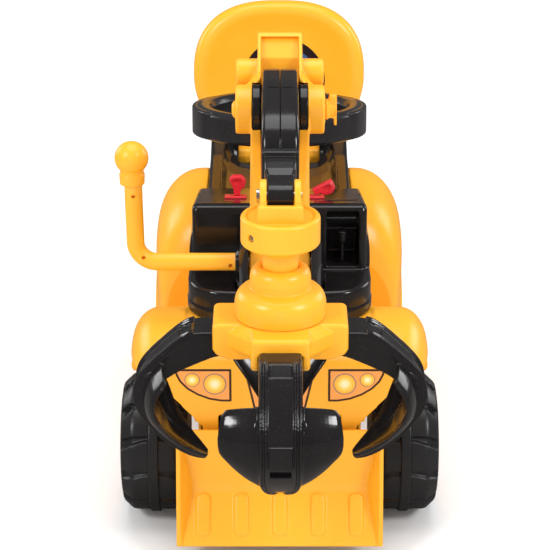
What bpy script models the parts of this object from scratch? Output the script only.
"""Ride-on digger: toddler foot-to-floor vehicle with a front blade and a hand-worked boom,
stick and four-claw grab.

Units are metres, +Z up, the front of the vehicle faces -Y and the driver's left is +X.
The layout has its front axle at Y = 0; the empty "vehicle_frame" moves it all by ORIGIN_Y so that
the world origin is the bottom centre of the vehicle's box.  Each piece is one closed solid in its
own object, shaped by boolean modifiers whose hidden helper solids are the "tool_" objects.

Outlines are (y, z) when extruded along x, (x, z) along y and (x, y) along z.
Turned profiles are (radius, height along the axis).  Spans are (low, high) pairs.
"""
import itertools
import math

import bmesh
import bpy
from mathutils import Matrix, Vector

# ------------------------------------------------------------------ driving dimensions
ORIGIN_Y = -0.0487        # layout Y that is moved to the world origin, negated
GAP = 0.0004              # running and seating gap between pieces

WHEEL_R = 0.077           # all four wheels
AXLE_Z = WHEEL_R
AXLE_R = 0.004
REAR_AXLE_Y = 0.345
# name, y, x of a wheel's inner face, wheel width
AXLES = (("front", 0.0, 0.098, 0.072), ("rear", REAR_AXLE_Y, 0.091, 0.056))

DECK_Z = 0.2285           # flat on the hood that carries the console

SLEW = Vector((0.0, 0.0, DECK_Z))        # foot of the turret's slew axis
TURRET_R = 0.046
BOOM_PIVOT = Vector((0.0, 0.0, 0.288))
BOOM_SHAFT_R = 0.0050
ELBOW = Vector((0.0, -0.050, 0.471))
GRAB_Y = -0.240
CLEVIS = Vector((0.0, GRAB_Y, 0.449))
JOINT_PIN_R = 0.0040      # elbow bolt and clevis pin
JOINT_BORE_R = JOINT_PIN_R + GAP

BLADE_PIVOT = Vector((0.0, -0.068, 0.124))
BLADE_ROD_R = 0.0030

STEERING_CENTRE = Vector((0.0, 0.200, 0.383))
STEERING_TILT = math.radians(7.5)

ORIGIN = (0, 0, 0)
X_AXIS = (1, 0, 0)
Z_AXIS = (0, 0, 1)
SIDES = (("left", 1), ("right", -1))

# ------------------------------------------------------------------ materials
YELLOW = dict(colour=(1.0, 0.54, 0.036), roughness=0.32, metallic=0.0)
BLACK = dict(colour=(0.014, 0.013, 0.013), roughness=0.22, metallic=0.0)
RED = dict(colour=(0.79, 0.03, 0.042), roughness=0.35, metallic=0.0)
STEEL = dict(colour=(0.6, 0.6, 0.6), roughness=0.35, metallic=1.0)


def material(name, colour, roughness, metallic):
    mat = bpy.data.materials.new(name)
    mat.use_nodes = True
    inputs = mat.node_tree.nodes["Principled BSDF"].inputs
    inputs["Base Color"].default_value = (*colour, 1.0)
    inputs["Roughness"].default_value = roughness
    inputs["Metallic"].default_value = metallic
    mat.diffuse_color = (*colour, 1.0)
    return mat


# ------------------------------------------------------------------ objects
for old in list(bpy.data.objects):
    bpy.data.objects.remove(old, do_unlink=True)

frame = bpy.data.objects.new("vehicle_frame", None)
bpy.context.scene.collection.objects.link(frame)
frame.location = (0.0, ORIGIN_Y, 0.0)

tool_numbers = itertools.count(1)


def make_object(name, shape, pivot):
    """Turns a closed bmesh, given in layout coordinates, into an object with its origin at pivot."""
    bmesh.ops.remove_doubles(shape, verts=shape.verts, dist=1e-6)
    bmesh.ops.recalc_face_normals(shape, faces=shape.faces)
    bmesh.ops.translate(shape, verts=shape.verts, vec=-Vector(pivot))
    mesh = bpy.data.meshes.new(name)
    shape.to_mesh(mesh)
    shape.free()
    ob = bpy.data.objects.new(name, mesh)
    bpy.context.scene.collection.objects.link(ob)
    ob.parent = frame
    ob.location = pivot
    return ob


def piece(name, shape, pivot, look, sharp_angle=38.0):
    """A visible piece, with a material of its own."""
    ob = make_object(name, shape, pivot)
    ob.data.materials.append(material(name, **look))
    ob.data.shade_smooth()
    ob.data.set_sharp_from_angle(angle=math.radians(sharp_angle))
    return ob


def helper(name, shape):
    """A hidden solid for a boolean modifier to use."""
    ob = make_object(name, shape, ORIGIN)
    ob.hide_render = True
    ob.display_type = 'WIRE'
    return ob


def add_boolean(ob, tool, operation):
    modifier = ob.modifiers.new(operation.lower() + "_" + tool.name, 'BOOLEAN')
    modifier.operation = operation
    modifier.solver = 'EXACT'
    modifier.object = tool


def cut(ob, shape):
    add_boolean(ob, helper("tool_%03d" % next(tool_numbers), shape), 'DIFFERENCE')


def add(ob, shape):
    add_boolean(ob, helper("tool_%03d" % next(tool_numbers), shape), 'UNION')


# ------------------------------------------------------------------ shapes
def across(half):
    """Span centred on zero."""
    return (-half, half)


def sided(side, inner, outer):
    """Span from inner to outer on one side (+1 or -1) of zero."""
    return tuple(sorted((side * inner, side * outer)))


def skin(rings):
    """Solid skinned over rings of equal length, capped at both ends."""
    shape = bmesh.new()
    rows = [[shape.verts.new(point) for point in ring] for ring in rings]
    count = len(rows[0])
    for near, far in zip(rows, rows[1:]):
        for i in range(count):
            j = (i + 1) % count
            shape.faces.new((near[i], near[j], far[j], far[i]))
    shape.faces.new(list(reversed(rows[0])))
    shape.faces.new(rows[-1])
    return shape


def prism(axis, outline, span):
    """Outline extruded over a span of the axis 'x', 'y' or 'z'."""
    place = {
        'x': lambda point, along: Vector((along, point[0], point[1])),
        'y': lambda point, along: Vector((point[0], along, point[1])),
        'z': lambda point, along: Vector((point[0], point[1], along)),
    }[axis]
    return skin([[place(point, along) for point in outline] for along in span])


def box(x, y, z):
    """Box from its spans in x, y and z."""
    return prism('z', [(x[0], y[0]), (x[1], y[0]), (x[1], y[1]), (x[0], y[1])], z)


def lathe(profile, centre, axis, sides, closed=False):
    """Turned solid; closed=True joins the profile's ends, for a ring that never meets the axis."""
    along = Vector(axis).normalized()
    reference = Vector((0, 0, 1)) if abs(along.z) < 0.9 else Vector((1, 0, 0))
    across_1 = along.cross(reference).normalized()
    across_2 = along.cross(across_1).normalized()
    shape = bmesh.new()
    rows = []
    for radius, height in profile:
        middle = Vector(centre) + along * height
        if radius < 1e-7:
            rows.append([shape.verts.new(middle)])
            continue
        row = []
        for i in range(sides):
            turn = 2 * math.pi * i / sides
            spoke = across_1 * math.cos(turn) + across_2 * math.sin(turn)
            row.append(shape.verts.new(middle + spoke * radius))
        rows.append(row)
    for i in range(len(rows) if closed else len(rows) - 1):
        near, far = rows[i], rows[(i + 1) % len(rows)]
        for j in range(sides):
            k = (j + 1) % sides
            corners = (near[j % len(near)], near[k % len(near)],
                       far[k % len(far)], far[j % len(far)])
            # a row on the axis is a single vertex, so its face is a triangle
            shape.faces.new(list(dict.fromkeys(corners)))
    if not closed:
        for row in (rows[0], rows[-1]):
            if len(row) > 1:
                shape.faces.new(row)
    return shape


def rod(centre, axis, radius, span, sides):
    return lathe([(radius, span[0]), (radius, span[1])], centre, axis, sides)


def sweep(path, radius, sides):
    """Round bar along a path in a plane of constant y."""
    points = [Vector(point) for point in path]
    sideways = Vector((0, 1, 0))
    rings = []
    for i, point in enumerate(points):
        before, after = points[max(i - 1, 0)], points[min(i + 1, len(points) - 1)]
        up = (after - before).normalized().cross(sideways).normalized()
        turns = [2 * math.pi * j / sides for j in range(sides)]
        rings.append([point + (sideways * math.cos(turn) + up * math.sin(turn)) * radius
                      for turn in turns])
    return skin(rings)


def arc(centre_1, centre_2, radius, start, end, steps):
    """Outline points on an arc; angles in degrees."""
    angles = [math.radians(start + (end - start) * i / steps) for i in range(steps + 1)]
    return [(centre_1 + radius * math.cos(angle), centre_2 + radius * math.sin(angle))
            for angle in angles]


# ------------------------------------------------------------------ body shell
SHELL_T = 0.003           # wall
WELL_R = 0.0835           # wheel arch
FRONT_ARCH_X = 0.0905     # inner face of a front wheel arch
REAR_ARCH_X = 0.0868
BELLY_HW = 0.0865         # half width of the body between the wheels
BELLY_INNER_HW = BELLY_HW - SHELL_T

# y, top height, half width
FRONT_STATIONS = [
    (-0.080, 0.203, 0.1410), (-0.074, 0.2105, 0.1460), (-0.055, 0.2200, 0.1530),
    (-0.025, 0.2285, 0.1575), (0.002, 0.2305, 0.1585), (0.022, 0.2270, 0.1585),
    (0.045, 0.2165, 0.1580), (0.068, 0.2060, 0.1560), (0.085, 0.1950, 0.1500),
    (0.097, 0.1800, 0.1400)]
REAR_STATIONS = [
    (0.200, 0.213, 0.1340), (0.208, 0.236, 0.1390), (0.225, 0.257, 0.1440),
    (0.255, 0.2700, 0.1475), (0.300, 0.2755, 0.1490), (0.345, 0.2725, 0.1490),
    (0.395, 0.2530, 0.1475), (0.435, 0.2320, 0.1430), (0.455, 0.2050, 0.1330)]
# width and height of the rounded upper corners
FRONT_CORNER = (0.030, 0.043)
REAR_CORNER = (0.055, 0.075)
CORNER_STEPS = 4


def body_loft(stations, corner, bottom, inset=0.0):
    """Round-shouldered body through the stations, drawn in on all but the bottom by inset."""
    first, last = stations[0][0], stations[-1][0]
    corner_w, corner_h = (size - inset for size in corner)
    rings = []
    for y, top, half_width in stations:
        y = min(max(y, first + inset), last - inset)
        top -= inset
        half_width -= inset
        half = []
        for i in range(CORNER_STEPS + 1):
            angle = math.radians(90 * i / CORNER_STEPS)
            half.append((half_width - corner_w + corner_w * math.sin(angle),
                         top - corner_h + corner_h * math.cos(angle)))
        half.append((half_width, bottom))
        outline = half + [(-x, z) for x, z in reversed(half)]
        rings.append([Vector((x, y, z)) for x, z in outline])
    return skin(rings)


def wheel_well(y, span, radius):
    """Wheel arch space: half round above the axle, straight down below it."""
    below = -0.02
    outline = [(y - radius, below)] + arc(y, AXLE_Z, radius, 180, 0, 12) + [(y + radius, below)]
    return prism('x', outline, span)


def front_corner_space(side, grow):
    """Space outboard of the hood's nose and under its shoulder."""
    outline = [
        (0.080, 0.100 + grow), (0.080 - grow, 0.1335 + grow), (0.1135 - grow, 0.1710 + grow),
        (0.1420, 0.1925 + grow), (0.30, 0.1925 + grow), (0.30, 0.02), (0.080 - grow, 0.02)]
    return prism('y', [(side * x, z) for x, z in outline], (-0.2, -0.056 + grow))


def fender_edge_space(side, grow):
    """Space under the mudguard's lower edge, which climbs forward from the top of the arch."""
    outline = [
        (0.0905 - grow, 0.02), (0.0905 - grow, 0.1452 + grow), (0.1135, 0.1710 + grow),
        (0.1420, 0.1925 + grow), (0.1650, 0.2050 + grow), (0.30, 0.2050 + grow), (0.30, 0.02)]
    climb, level_y = 0.4142, -0.080     # rise per metre forward; y where the outline is unshifted
    return skin([[Vector((side * x, y, z - (y - level_y) * climb)) for x, z in outline]
                 for y in (-0.2, grow)])


def cut_wheel_spaces(body, side, outer_x, grow=0.0):
    radius = WELL_R + grow
    cut(body, wheel_well(0.0, sided(side, FRONT_ARCH_X - grow, outer_x), radius))
    cut(body, wheel_well(REAR_AXLE_Y, sided(side, REAR_ARCH_X - grow, outer_x), radius))
    cut(body, front_corner_space(side, grow))
    cut(body, fender_edge_space(side, grow))


def cut_flats(body, top, grow=0.0):
    """Flat for the console, then the trough that takes the seat."""
    cut(body, box(across(0.1000 + grow), (-0.0500 - grow, 0.2060 + grow), (DECK_Z - grow, top)))
    cut(body, box(across(0.0850 + grow), (0.1900 - grow, 0.4420 + grow), (0.2250 - grow, top)))


def build_cavity():
    """Inside of the shell, open underneath."""
    bottom = 0.050
    cavity = helper("tool_cavity", body_loft(FRONT_STATIONS, FRONT_CORNER, bottom, SHELL_T))
    add(cavity, body_loft(REAR_STATIONS, REAR_CORNER, bottom, SHELL_T))
    add(cavity, box(across(0.0951), (-0.0406, 0.2026), (0.2084, 0.2300)))
    add(cavity, box(across(BELLY_INNER_HW), (0.080, 0.230), (bottom, 0.2165)))
    for side in (-1, 1):
        cut_wheel_spaces(cavity, side, 0.30, SHELL_T)
        cut(cavity, box(sided(side, BELLY_INNER_HW, 0.30), (-0.30, 0.60), (0.0, 0.130)))
    cut_flats(cavity, 0.45, SHELL_T)
    return cavity


def build_shell():
    shell = piece("body_shell", body_loft(FRONT_STATIONS, FRONT_CORNER, 0.128), ORIGIN, YELLOW)
    add(shell, body_loft(REAR_STATIONS, REAR_CORNER, 0.080))
    # plateau under the console, waist behind the hood, belly along the whole length
    add(shell, box(across(0.0985), (-0.0440, 0.2060), (0.2050, 0.2300)))
    add(shell, box(across(BELLY_HW), (0.085, 0.215), (0.060, 0.2200)))
    add(shell, box(across(BELLY_HW), (-0.045, 0.452), (0.060, 0.140)))
    for side in (-1, 1):
        cut_wheel_spaces(shell, side, 0.25)
    cut_flats(shell, 0.40)
    add_boolean(shell, build_cavity(), 'DIFFERENCE')
    # notches in the hood's lower lip that clear the blade's lugs
    for side in (-1, 1):
        cut(shell, box(sided(side, 0.042, 0.064), (-0.10, -0.050), (0.10, 0.1475)))
    return shell


# ------------------------------------------------------------------ underframe and its rods
def build_underframe():
    """Open-topped tray with two ears that carry the blade rod."""
    half_width, front, rear, floor, wall = 0.0828, -0.0760, 0.4480, 0.0500, 0.004
    tray = box(across(half_width), (front, rear), (floor, 0.0980))
    under = piece("underframe", tray, ORIGIN, BLACK)
    cut(under, box(across(half_width - wall), (front + wall, rear - wall), (floor + wall, 0.20)))
    ear = ([(-0.0755, 0.0530), (-0.0765, 0.1240)]
           + arc(BLADE_PIVOT.y, BLADE_PIVOT.z, 0.0085, 180, 0, 6) + [(-0.0560, 0.0530)])
    for side in (-1, 1):
        add(under, prism('x', ear, sided(side, 0.0345, 0.0405)))
    return under


def bore_for_blade_rod(ob):
    cut(ob, rod(BLADE_PIVOT, X_AXIS, BLADE_ROD_R + GAP, across(0.2), 12))


def bore_underbody(shell, under):
    for _, y, _, _ in AXLES:
        for ob in (under, shell):
            cut(ob, rod((0, y, AXLE_Z), X_AXIS, AXLE_R + GAP, across(0.2), 14))
    bore_for_blade_rod(under)


def build_blade_rod():
    bar = rod(BLADE_PIVOT, X_AXIS, BLADE_ROD_R, across(0.0660), 12)
    piece("blade_rod", bar, BLADE_PIVOT, STEEL)


def build_body_screws(shell, under):
    """Side screws, body shell to underframe, each with its bore through both."""
    shank_r = 0.0020
    profile = [(0.0, 0.0770), (shank_r, 0.0770), (shank_r, 0.0869), (0.0042, 0.0869),
               (0.0042, 0.0882), (0.0025, 0.0893), (0.0, 0.0893)]
    for end, y in (("front", 0.118), ("rear", 0.178)):
        for name, side in SIDES:
            centre, axis = Vector((0, y, 0.0860)), (side, 0, 0)
            for ob in (shell, under):
                cut(ob, rod(centre, axis, 0.0025, (0.070, 0.095), 8))
            screw = lathe(profile, centre, axis, 8)
            piece("body_screw_%s_%s" % (end, name), screw, centre, STEEL)


# ------------------------------------------------------------------ axles and wheels
AXLE_END_INSET = 0.0085   # from a wheel's outer face to the end of its axle


def wheel_profile(inner, outer):
    bore = AXLE_R + GAP
    return [(bore, inner), (0.058, inner), (WHEEL_R - 0.010, inner + 0.003),
            (WHEEL_R - 0.002, inner + 0.014), (WHEEL_R, (inner + outer) / 2),
            (WHEEL_R - 0.002, outer - 0.014), (WHEEL_R - 0.010, outer - 0.003),
            (0.056, outer), (0.050, outer - 0.010), (bore, outer - 0.0125)]


# heights are from the wheel's outer face
HUBCAP_PROFILE = [(0.0095, -0.0121), (0.0490, -0.0096), (0.0490, -0.0050),
                  (0.0420, -0.0025), (0.0150, -0.0015), (0.0095, -0.0060)]
NUT_PROFILE = [(0.0, -0.0083), (0.0075, -0.0083), (0.0075, -0.0040),
               (0.0045, -0.0012), (0.0, -0.0008)]


def build_axles():
    for end, y, inner, width in AXLES:
        centre = (0, y, AXLE_Z)
        span = across(inner + width - AXLE_END_INSET)
        piece(end + "_axle", rod(centre, X_AXIS, AXLE_R, span, 14), centre, STEEL)


def build_wheels():
    for end, y, inner, width in AXLES:
        outer = inner + width
        cap = [(radius, outer + height) for radius, height in HUBCAP_PROFILE]
        nut = [(radius, outer + height) for radius, height in NUT_PROFILE]
        for side_name, side in SIDES:
            name = end + "_" + side_name
            centre, axis = (0, y, AXLE_Z), (side, 0, 0)
            tyre = lathe(wheel_profile(inner, outer), centre, axis, 20, closed=True)
            piece("wheel_" + name, tyre, centre, BLACK, sharp_angle=30)
            piece("hubcap_" + name, lathe(cap, centre, axis, 14, closed=True), centre, YELLOW)
            piece("axle_nut_" + name, lathe(nut, centre, axis, 12), centre, STEEL)


# ------------------------------------------------------------------ console
# (y, z) of the ends of the sloping top
CONSOLE_TOP_FRONT = (0.0520, 0.3345)
CONSOLE_TOP_REAR = (0.2030, 0.2975)


def console_top(y):
    """Height of the sloping top at y."""
    (y_front, z_front), (y_rear, z_rear) = CONSOLE_TOP_FRONT, CONSOLE_TOP_REAR
    return z_front - (y - y_front) * (z_front - z_rear) / (y_rear - y_front)


def build_console():
    left_half = [(0.0300, -0.0245), (0.0550, -0.0235), (0.0740, -0.0190), (0.0880, -0.0080),
                 (0.0965, 0.0080), (0.0990, 0.0250), (0.0990, 0.2050)]
    base = left_half + [(-x, y) for x, y in reversed(left_half)]
    tower = [(0.0420, 0.2400), (0.0400, 0.2680), (0.0420, 0.3260), (0.0450, 0.3320),
             CONSOLE_TOP_FRONT, CONSOLE_TOP_REAR, (0.2030, 0.2400)]
    console = piece("console", prism('z', base, (DECK_Z + GAP, 0.2620)), ORIGIN, BLACK)
    add(console, prism('x', tower, across(0.0935)))
    cut(console, rod(SLEW, Z_AXIS, TURRET_R + 0.0012, (-0.05, 0.30), 28))
    # pocket in the tower's front face, on the left
    cut(console, box((0.0500, 0.0860), (0.0200, 0.0850), (0.2680, 0.3280)))
    # hollow underneath, set back behind the pocket
    cut(console, box((-0.0900, 0.0460), (0.0530, 0.2000), (0.20, 0.2860)))
    cut(console, box((0.0400, 0.0900), (0.0890, 0.2000), (0.20, 0.2860)))
    return console


# ------------------------------------------------------------------ steering
# axis of the column, leaning back to the driver
STEERING_AXIS = Vector((0, math.sin(STEERING_TILT), math.cos(STEERING_TILT)))
COLUMN_R = 0.017


def build_column(console):
    foot = -(STEERING_CENTRE.z - DECK_Z) / math.cos(STEERING_TILT) + 0.006
    profile = [(0.0, foot), (COLUMN_R, foot), (COLUMN_R, -0.080), (0.0150, -0.040),
               (0.0150, -0.0165), (0.0060, -0.0165), (0.0060, -0.0040), (0.0, -0.0040)]
    column = lathe(profile, STEERING_CENTRE, STEERING_AXIS, 16)
    piece("steering_column", column, ORIGIN, BLACK)
    cut(console, rod(STEERING_CENTRE, STEERING_AXIS, COLUMN_R + GAP, (-0.20, -0.03), 16))


def steering_spoke(degrees):
    """Tapered bar from the hub cup to the rim; 270 degrees points back to the driver's far side."""
    right = Vector((1, 0, 0))
    cross = STEERING_AXIS.cross(right)
    angle = math.radians(degrees)
    outward = right * math.cos(angle) + cross * math.sin(angle)
    tangent = STEERING_AXIS.cross(outward)
    half_height, centre_height = 0.0045, -0.004
    rings = []
    for distance, half_width in ((0.026, 0.012), (0.080, 0.014)):
        rings.append([STEERING_CENTRE + outward * distance + tangent * (half_width * i)
                      + STEERING_AXIS * (half_height * j + centre_height)
                      for i, j in ((-1, -1), (1, -1), (1, 1), (-1, 1))])
    return skin(rings)


def build_steering_wheel():
    rim = [(0.0760, -0.0105), (0.0800, -0.0165), (0.0925, -0.0165), (0.0968, -0.0120),
           (0.0975, 0.0110), (0.0930, 0.0168), (0.0815, 0.0168), (0.0760, 0.0105)]
    hub_cup = [(0.0066, -0.0160), (0.026, -0.0160), (0.030, -0.0100), (0.030, 0.0060),
               (0.0215, 0.0060), (0.0215, -0.0030), (0.0066, -0.0030)]
    ring = lathe(rim, STEERING_CENTRE, STEERING_AXIS, 28, closed=True)
    wheel = piece("steering_wheel", ring, STEERING_CENTRE, BLACK)
    add(wheel, lathe(hub_cup, STEERING_CENTRE, STEERING_AXIS, 16, closed=True))
    for degrees in (0, 180, 270):
        add(wheel, steering_spoke(degrees))


def build_horn_button():
    profile = [(0.0, -0.0004), (0.0205, -0.0004), (0.0205, 0.0060), (0.0165, 0.0090), (0.0, 0.0105)]
    button = lathe(profile, STEERING_CENTRE, STEERING_AXIS, 16)
    piece("horn_button", button, STEERING_CENTRE, YELLOW)


# ------------------------------------------------------------------ red dashboard levers
def build_dash_levers():
    """Two flat grips with wider heads, each on a low saddle that follows the console's top."""
    rise = 0.0026         # saddle above the console
    grip = [(-0.0035, -0.0010), (0.0035, -0.0010), (0.0040, 0.0055), (0.0085, 0.0095),
            (0.0095, 0.0165), (0.0050, 0.0210), (-0.0050, 0.0210), (-0.0085, 0.0175),
            (-0.0050, 0.0090), (-0.0038, 0.0055)]
    saddle = [(y, console_top(y) + lift) for y, lift in
              ((0.0920, GAP), (0.0930, rise), (0.1170, rise), (0.1180, GAP))]
    # name, x, pivot height, tilt in degrees
    for name, x, z, tilt in (("left", 0.0385, 0.3290, 64.0), ("right", -0.0465, 0.3258, 0.0)):
        pivot = Vector((x, 0.1050, z))
        saddle_x = x - 0.0015
        shape = prism('x', saddle, (saddle_x - 0.0120, saddle_x + 0.0120))
        base = piece("lever_base_" + name, shape, pivot, RED)
        cut(base, box((x - 0.0070, x + 0.0070), (0.0995, 0.1105), (0.3225, 0.34)))
        shape = prism('y', grip, across(0.0035))
        placing = Matrix.Translation(pivot) @ Matrix.Rotation(math.radians(tilt), 4, 'Y')
        bmesh.ops.transform(shape, matrix=placing, verts=shape.verts)
        piece("dash_lever_" + name, shape, pivot, RED)


# ------------------------------------------------------------------ seat and backrest
def build_seat():
    side_view = [(0.2080, 0.2254), (0.2080, 0.2640), (0.2220, 0.2760), (0.3000, 0.2800),
                 (0.3600, 0.2840), (0.3920, 0.2960), (0.4180, 0.2960), (0.4180, 0.2254)]
    dish = [(-0.070, 0.40), (-0.070, 0.275), (-0.055, 0.2600), (-0.030, 0.2560),
            (0.030, 0.2560), (0.055, 0.2600), (0.070, 0.275), (0.070, 0.40)]
    seat = piece("seat", prism('x', side_view, across(0.0845)), ORIGIN, BLACK)
    cut(seat, prism('y', dish, (0.10, 0.3920)))
    # opening between the two rear posts, then the hollow underneath
    cut(seat, box(across(0.0520), (0.3900, 0.50), (0.2560, 0.40)))
    cut(seat, box(across(0.0800), (0.2120, 0.4140), (0.20, 0.2500)))


def backrest_ring(scale, depth):
    """Rounded outline, narrower towards its foot, leaning back with the backrest."""
    centre = Vector((0.0, 0.4480, 0.3620))
    lean = Matrix.Rotation(-math.radians(7.0), 3, 'X')
    half_width, half_height, points = 0.1075, 0.0930, 28
    ring = []
    for i in range(points):
        angle = 2 * math.pi * i / points
        cosine, sine = math.cos(angle), math.sin(angle)
        x = half_width * math.copysign(abs(cosine) ** 0.74, cosine)
        z = half_height * math.copysign(abs(sine) ** 0.80, sine)
        if z < 0:
            x *= 1.0 - 0.16 * (z / half_height) ** 2
        ring.append(centre + lean @ Vector((x * scale, depth, z * scale)))
    return ring


def build_backrest():
    # scale of the outline, depth from the centre (+ is rearward)
    sections = [(0.88, 0.0140), (0.97, 0.0105), (1.0, 0.0020), (0.985, -0.0090),
                (0.93, -0.0155), (0.85, -0.0155), (0.72, -0.0110)]
    # foot, between the seat's two rear posts
    foot = [(0.4220, 0.2570), (0.4190, 0.2600), (0.4080, 0.2610), (0.4035, 0.2640),
            (0.4010, 0.2700), (0.4035, 0.2760), (0.4200, 0.2790), (0.4270, 0.2950),
            (0.4440, 0.2950), (0.4400, 0.2570)]
    back = piece("backrest", skin([backrest_ring(*section) for section in sections]),
                 ORIGIN, YELLOW)
    add(back, prism('x', foot, across(0.0510)))


# ------------------------------------------------------------------ front blade
BLADE_HW = 0.1075
# (y, z) of the ends of the sloping floor's front face
FLOOR_TOP = (-0.0935, 0.0755)
FLOOR_LIP = (-0.1305, 0.0205)
PAD_PITCH = 0.0400


def blade_pad(x):
    """Raised pad on the sloping floor."""
    top, lip = Vector((0, *FLOOR_TOP)), Vector((0, *FLOOR_LIP))
    slope = lip - top
    normal = Vector((0, slope.z, -slope.y)).normalized()      # forwards and up
    upper, lower = top + slope * 0.14, top + slope * 0.80
    corners = ((-1, upper), (1, upper), (1, lower), (-1, lower))
    return skin([[Vector((x + i * 0.0078, 0, 0)) + end + normal * height for i, end in corners]
                 for height in (-0.0015, 0.0016)])


def build_blade():
    plate = [(-0.0900, 0.1365), (-0.0935, 0.1365), FLOOR_TOP, FLOOR_LIP,
             (-0.1275, 0.0185), (-0.0900, 0.0740)]
    cheek = [(-0.0900, 0.1365), (-0.1000, 0.1365), (-0.1165, 0.1220), (-0.1330, 0.0200),
             (-0.1270, 0.0160), (-0.0900, 0.0700)]
    lug = [(-0.0925, 0.1320), (-0.0925, 0.0950), (BLADE_PIVOT.y + 0.004, BLADE_PIVOT.z - 0.0080)]
    lug += arc(BLADE_PIVOT.y, BLADE_PIVOT.z, 0.0080, -45, 90, 5)
    blade = piece("blade", prism('x', plate, across(BLADE_HW - 0.001)), BLADE_PIVOT, YELLOW)
    for side in (-1, 1):
        add(blade, prism('x', cheek, sided(side, BLADE_HW - 0.0045, BLADE_HW)))
        add(blade, prism('x', lug, sided(side, 0.0460, 0.0600)))
    bore_for_blade_rod(blade)
    for i in range(5):
        add(blade, blade_pad((i - 2) * PAD_PITCH))


# ------------------------------------------------------------------ slewing turret
def bore_for_boom_shaft(ob):
    cut(ob, rod(BOOM_PIVOT, X_AXIS, BOOM_SHAFT_R + GAP, across(0.2), 16))


def build_turret():
    profile = [(0.0, 0.0008), (0.0445, 0.0008), (TURRET_R, 0.0025), (TURRET_R, 0.0800),
               (0.0430, 0.1000), (0.0, 0.1000)]
    slot = across(0.0326)
    above = 0.40
    turret = piece("turret", lathe(profile, SLEW, Z_AXIS, 28), SLEW, BLACK)
    # slot for the boom, notch in the -X cheek for the lever hub, lowered rear wall
    cut(turret, box(slot, (-0.10, 0.0290), (0.2480, above)))
    cut(turret, box((-0.10, -0.0372), across(0.0180), (0.2700, above)))
    cut(turret, box(slot, (0.0280, 0.10), (0.3000, above)))
    bore_for_boom_shaft(turret)


# ------------------------------------------------------------------ boom and its hand lever
def bore_for_joint_pin(ob, centre, reach=0.05):
    cut(ob, rod(centre, X_AXIS, JOINT_BORE_R, across(reach), 14))


def build_boom():
    rail_inner, rail_outer = 0.0190, 0.0320
    socket_end, boss_end = 0.0276, 0.0435
    lower = [(-0.0150, 0.2740), (-0.0200, 0.2880), (-0.0280, 0.3450), (-0.0450, 0.4100),
             (-0.0720, 0.4560), (-0.0745, 0.4710), (-0.0700, 0.4860), (-0.0560, 0.4960),
             (-0.0300, 0.4950), (-0.0020, 0.4850), (0.0050, 0.4400), (0.0080, 0.3700),
             (0.0170, 0.3000), (0.0190, 0.2880), (0.0130, 0.2740), (0.0000, 0.2680)]
    mast = [(-0.0560, 0.4700), (-0.0330, 0.4990), (0.0060, 0.5330), (0.0300, 0.5330),
            (0.0290, 0.5180), (0.0050, 0.4600), (-0.0020, 0.4500)]
    # U-channel room in front of the web, from the foot to the top of the mast
    channel = [(-0.20, 0.2500), (-0.20, 0.5290), (0.0190, 0.5290), (0.0265, 0.5180),
               (0.0020, 0.4600), (0.0020, 0.4400), (0.0050, 0.3700), (0.0100, 0.3300),
               (0.0000, 0.3130), (-0.0200, 0.3130), (-0.0300, 0.2900)]
    boom = piece("boom", prism('x', lower, across(rail_outer)), BOOM_PIVOT, YELLOW)
    add(boom, prism('x', mast, across(0.0235)))
    cut(boom, prism('x', channel, across(rail_inner)))
    # round sockets for the friction discs, with bosses outside them
    for side in (-1, 1):
        cut(boom, rod(ELBOW, X_AXIS, 0.0262, sided(side, 0.0178, socket_end), 20))
        add(boom, rod(ELBOW, X_AXIS, 0.0242, sided(side, socket_end, boss_end), 20))
    # cross handle
    for side in (-1, 1):
        add(boom, rod((0, -0.004, 0.4960), X_AXIS, 0.0135, sided(side, 0.0195, 0.0440), 16))
    bore_for_joint_pin(boom, ELBOW, reach=0.2)
    bore_for_boom_shaft(boom)


def build_boom_shaft():
    shaft = rod(BOOM_PIVOT, X_AXIS, BOOM_SHAFT_R, (-0.0520, 0.0395), 16)
    piece("boom_shaft", shaft, BOOM_PIVOT, STEEL)


def build_lever_hub():
    """Ring on the shaft, outside the turret's -X cheek."""
    bore = BOOM_SHAFT_R + GAP
    profile = [(bore, 0.0378), (0.0135, 0.0378), (0.0150, 0.0400), (0.0150, 0.0440),
               (0.0135, 0.0460), (bore, 0.0460)]
    hub = lathe(profile, BOOM_PIVOT, (-1, 0, 0), 16, closed=True)
    piece("lever_hub", hub, BOOM_PIVOT, BLACK)


def build_boom_lever():
    """L-shaped tube, out to -X and then up."""
    bend_x, bend_r, z = -0.1280, 0.0185, BOOM_PIVOT.z
    path = [(-0.0466, 0, z), (bend_x, 0, z)]
    for degrees in (17, 34, 51, 68, 85):
        angle = math.radians(degrees)
        path.append((bend_x - bend_r * math.sin(angle), 0, z + bend_r - bend_r * math.cos(angle)))
    path.append((-0.1515, 0, 0.3745))
    lever = piece("boom_lever", sweep(path, 0.0095, 12), BOOM_PIVOT, YELLOW)
    cut(lever, rod(BOOM_PIVOT, X_AXIS, BOOM_SHAFT_R + GAP, (-0.0530, -0.0400), 16))


def build_ball_knob():
    ball_r, stem_r = 0.0173, 0.0132
    profile = [(0.0, -0.0265), (stem_r, -0.0265), (stem_r, -0.0165)]
    for degrees in (-45, -22, 0, 22, 45, 68):
        angle = math.radians(degrees)
        profile.append((ball_r * math.cos(angle), ball_r * math.sin(angle)))
    profile.append((0.0, ball_r))
    knob = lathe(profile, Vector((-0.1525, 0, 0.4030)), Z_AXIS, 16)
    piece("ball_knob", knob, BOOM_PIVOT, YELLOW)


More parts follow.
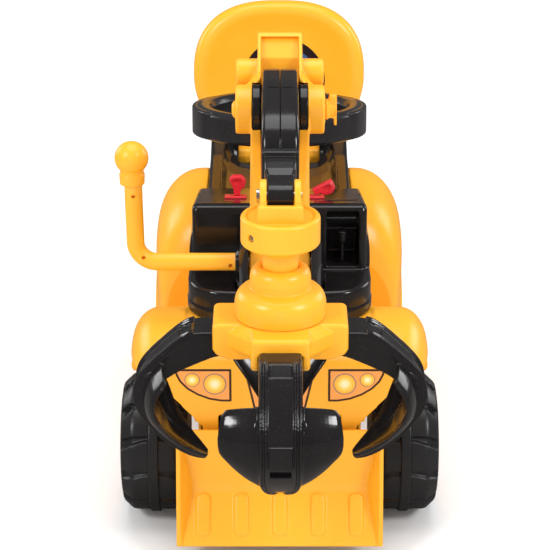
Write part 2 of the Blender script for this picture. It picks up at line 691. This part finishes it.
# ------------------------------------------------------------------ elbow joint hardware
def build_friction_discs():
    profile = [(JOINT_BORE_R, 0.0180), (0.0255, 0.0180), (0.0255, 0.0272), (JOINT_BORE_R, 0.0272)]
    for name, side in SIDES:
        disc = lathe(profile, ELBOW, (side, 0, 0), 20, closed=True)
        piece("friction_disc_" + name, disc, ELBOW, BLACK)


def build_elbow_bolt():
    profile = [(0.0, -0.0475), (0.0085, -0.0475), (0.0085, -0.0440), (JOINT_PIN_R, -0.0440),
               (JOINT_PIN_R, 0.0520), (0.0, 0.0520)]
    piece("elbow_bolt", lathe(profile, ELBOW, X_AXIS, 14), ELBOW, YELLOW)


def build_elbow_knob():
    """Collar on the bolt's +X end with two wings."""
    profile = [(JOINT_BORE_R, 0.0440), (0.0090, 0.0440), (0.0090, 0.0475), (0.0065, 0.0500),
               (0.0065, 0.0555), (JOINT_BORE_R, 0.0555)]
    knob = piece("elbow_knob", lathe(profile, ELBOW, X_AXIS, 12, closed=True), ELBOW, YELLOW)
    for side in (-1, 1):
        z_span = sorted((ELBOW.z + side * 0.0050, ELBOW.z + side * 0.0150))
        add(knob, box((0.0480, 0.0560), (ELBOW.y - 0.0022, ELBOW.y + 0.0022), z_span))


# ------------------------------------------------------------------ stick
def build_stick_halves():
    outline = arc(ELBOW.y, ELBOW.z, 0.0400, 100, -95, 14)
    outline += [(-0.0900, 0.4320), (-0.1800, 0.4370), (-0.1860, 0.4395), (-0.1825, 0.4810),
                (-0.1600, 0.4960), (-0.1000, 0.5080)]
    for name, side in SIDES:
        half = piece("stick_" + name, prism('x', outline, sided(side, 0.0002, 0.0175)),
                     ELBOW, BLACK)
        bore_for_joint_pin(half, ELBOW)
        # socket for the end link, and the room behind it
        cut(half, box(across(0.0122), (-0.30, -0.1100), (0.4460, 0.4740)))


def build_stick_link():
    tongue = [(-0.1300, 0.4464), (-0.1880, 0.4464), (-0.1905, 0.4400), (-0.2050, 0.4400),
              (-0.2240, 0.4440)]
    tongue += arc(CLEVIS.y, CLEVIS.z, 0.0115, 300, 80, 9)
    tongue += [(-0.2180, 0.4640), (-0.2050, 0.4700), (-0.1905, 0.4720), (-0.1880, 0.4736),
               (-0.1300, 0.4736)]
    shoulder = [(-0.1905, 0.4400), (-0.2080, 0.4420), (-0.2080, 0.4700), (-0.1875, 0.4780)]
    end_link = piece("stick_link", prism('x', tongue, across(0.0118)), ELBOW, BLACK)
    add(end_link, prism('x', shoulder, across(0.0165)))
    bore_for_joint_pin(end_link, CLEVIS)


def build_clevis_pin():
    profile = [(0.0, -0.0215), (0.0062, -0.0215), (0.0062, -0.0190), (JOINT_PIN_R, -0.0190),
               (JOINT_PIN_R, 0.0195), (0.0, 0.0195)]
    piece("clevis_pin", lathe(profile, CLEVIS, X_AXIS, 14), CLEVIS, STEEL)


# ------------------------------------------------------------------ collar, neck and bell
GRAB_FOOT = Vector((0.0, GRAB_Y, 0.0))   # point on the grab's upright axis
BELL_PIVOT = (0, GRAB_Y, 0.330)


def build_collar():
    cup = [(0.0, 0.4290), (0.0122, 0.4290), (0.0122, 0.4040), (0.0345, 0.4040),
           (0.0362, 0.4055), (0.0362, 0.4290), (0.0340, 0.4312), (0.0, 0.4312)]
    lug = ([(GRAB_Y - 0.0170, 0.4300), (GRAB_Y - 0.0150, 0.4490)]
           + arc(CLEVIS.y, CLEVIS.z, 0.0150, 165, 15, 8) + [(GRAB_Y + 0.0170, 0.4300)])
    collar = piece("collar", lathe(cup, GRAB_FOOT, Z_AXIS, 24), CLEVIS, YELLOW)
    # pad under the lugs and a low wall at its front
    front = GRAB_Y - 0.0220
    add(collar, box(across(0.0205), (front, GRAB_Y + 0.0140), (0.4302, 0.4350)))
    add(collar, box(across(0.0205), (front, GRAB_Y - 0.0150), (0.4340, 0.4460)))
    for side in (-1, 1):
        add(collar, prism('x', lug, sided(side, 0.0125, 0.0185)))
    bore_for_joint_pin(collar, CLEVIS)
    # radial screw in the front of the cup, towards -X
    centre = Vector((0.0, GRAB_Y, 0.4170))
    angle = math.radians(48)
    axis = Vector((-math.sin(angle), -math.cos(angle), 0))
    screw_r = 0.0030
    cut(collar, rod(centre, axis, screw_r + GAP, (0.0200, 0.05), 12))
    profile = [(0.0, 0.0205), (screw_r, 0.0205), (screw_r, 0.0340), (0.0, 0.0340)]
    piece("collar_screw", lathe(profile, centre, axis, 12), CLEVIS, STEEL)


def build_grab_neck():
    profile = [(0.0, 0.3380), (0.0255, 0.3380), (0.0255, 0.3430), (0.0166, 0.3445),
               (0.0166, 0.3950), (0.0240, 0.4035), (0.0116, 0.4035), (0.0116, 0.4270),
               (0.0, 0.4270)]
    piece("grab_neck", lathe(profile, GRAB_FOOT, Z_AXIS, 24), (0, GRAB_Y, 0.404), YELLOW)


def build_grab_bell():
    outside = [(0.0172, 0.3822), (0.0235, 0.3806), (0.0279, 0.3750), (0.0279, 0.3625),
               (0.0360, 0.3590), (0.0410, 0.3530), (0.0422, 0.3450), (0.0422, 0.3347)]
    inside = [(0.0395, 0.3347), (0.0395, 0.3480), (0.0350, 0.3560), (0.0280, 0.3590),
              (0.0172, 0.3590)]
    bell = lathe(outside + inside, GRAB_FOOT, Z_AXIS, 24, closed=True)
    piece("grab_bell", bell, BELL_PIVOT, YELLOW)


# ------------------------------------------------------------------ grab hub and claws
# name, direction outwards from the grab's axis
CLAWS = (("front", Vector((0, -1, 0))), ("left", Vector((1, 0, 0))),
         ("rear", Vector((0, 1, 0))), ("right", Vector((-1, 0, 0))))
CLAW_PIN_R = 0.0027
CLAW_PIN_Z = 0.312
CLAW_PIN_CIRCLE_R = 0.052


def tangent_of(outward):
    return Vector((0, 0, 1)).cross(outward)


def hinge_of(outward):
    """Centre of a claw's hinge pin."""
    return GRAB_FOOT + outward * CLAW_PIN_CIRCLE_R + Vector((0, 0, CLAW_PIN_Z))


def radial(shape, outward):
    """Moves a shape drawn as (tangent x, radius y, z) round to one direction of the grab."""
    tangent = tangent_of(outward)
    placing = Matrix(((tangent.x, outward.x, 0, 0), (tangent.y, outward.y, 0, GRAB_Y),
                      (0, 0, 1, 0), (0, 0, 0, 1)))
    bmesh.ops.transform(shape, matrix=placing, verts=shape.verts)
    return shape


def bore_for_claw_pin(ob, outward):
    cut(ob, rod(hinge_of(outward), tangent_of(outward), CLAW_PIN_R + GAP, across(0.0300), 10))


def build_grab_hub():
    """Ring with four slotted brackets, and the claws' hinge pins."""
    top = 0.3343
    ring = [(0.0275, top), (0.0500, top), (0.0500, 0.3070), (0.0330, 0.2960), (0.0275, 0.2960)]
    # radius, height
    bracket = [(0.0300, 0.2985), (0.0300, top), (0.0590, top), (0.0620, 0.3310),
               (0.0620, 0.3085), (0.0590, 0.3040), (0.0480, 0.2985)]
    hub = piece("grab_hub", lathe(ring, GRAB_FOOT, Z_AXIS, 24, closed=True), BELL_PIVOT, YELLOW)
    for _, outward in CLAWS:
        add(hub, radial(prism('x', bracket, across(0.0267)), outward))
    for name, outward in CLAWS:
        cut(hub, radial(box(across(0.0203), (0.0380, 0.0900), (0.2500, 0.3302)), outward))
        bore_for_claw_pin(hub, outward)
        hinge = hinge_of(outward)
        pin = rod(hinge, tangent_of(outward), CLAW_PIN_R, across(0.0262), 10)
        piece("claw_pin_" + name, pin, hinge, STEEL)


# radius, height
SPINE = [
    (0.0440, 0.3180), (0.0500, 0.3215), (0.0600, 0.3225), (0.0850, 0.3200), (0.1100, 0.2990),
    (0.1290, 0.2790), (0.1345, 0.2620), (0.1325, 0.2440), (0.1235, 0.2250), (0.1080, 0.2070),
    (0.1035, 0.2125), (0.1120, 0.2270), (0.1175, 0.2450), (0.1143, 0.2643), (0.0987, 0.2797),
    (0.0650, 0.2960), (0.0500, 0.3000), (0.0430, 0.3060)]
# radius, height, half width, sag of the two edges
SCOOP = [
    (0.1085, 0.2915, 0.0520, 0.0075), (0.1210, 0.2780, 0.0545, 0.0100),
    (0.1265, 0.2620, 0.0555, 0.0115), (0.1255, 0.2450, 0.0530, 0.0130),
    (0.1185, 0.2280, 0.0440, 0.0130), (0.1060, 0.2110, 0.0315, 0.0095),
    (0.0900, 0.1975, 0.0200, 0.0055), (0.0755, 0.1895, 0.0110, 0.0022),
    (0.0690, 0.1858, 0.0055, 0.0008)]
SCOOP_T = 0.0042
SCOOP_STEPS = 6           # across the width


def scoop():
    """Curved plate that tapers to the claw's tip, its edges bent in towards the grab's axis."""
    rings = []
    for i, (radius, z, half_width, sag) in enumerate(SCOOP):
        before, after = SCOOP[max(i - 1, 0)], SCOOP[min(i + 1, len(SCOOP) - 1)]
        along = Vector((0, after[0] - before[0], after[1] - before[1])).normalized()
        normal = Vector((0, -along.z, along.y))       # away from the grab's axis
        outer = []
        inner = []
        for j in range(SCOOP_STEPS + 1):
            x = -half_width + 2 * half_width * j / SCOOP_STEPS
            middle = Vector((x, radius, z)) - normal * (sag * (x / half_width) ** 2)
            outer.append(middle + normal * (SCOOP_T / 2))
            inner.append(middle - normal * (SCOOP_T / 2))
        rings.append(outer + inner[::-1])
    return skin(rings)


def build_claws():
    for name, outward in CLAWS:
        spine = radial(prism('x', SPINE, across(0.0195)), outward)
        claw = piece("claw_" + name, spine, hinge_of(outward), BLACK)
        add(claw, radial(scoop(), outward))
        bore_for_claw_pin(claw, outward)


# ------------------------------------------------------------------ build, in tool-number order
body_shell = build_shell()
underframe = build_underframe()
bore_underbody(body_shell, underframe)
build_blade_rod()
build_axles()
build_wheels()
build_body_screws(body_shell, underframe)
build_column(build_console())
build_steering_wheel()
build_horn_button()
build_dash_levers()
build_seat()
build_backrest()
build_blade()
build_turret()
build_boom()
build_boom_shaft()
build_lever_hub()
build_boom_lever()
build_ball_knob()
build_friction_discs()
build_elbow_bolt()
build_elbow_knob()
build_stick_halves()
build_stick_link()
build_clevis_pin()
build_collar()
build_grab_neck()
build_grab_bell()
build_grab_hub()
build_claws()
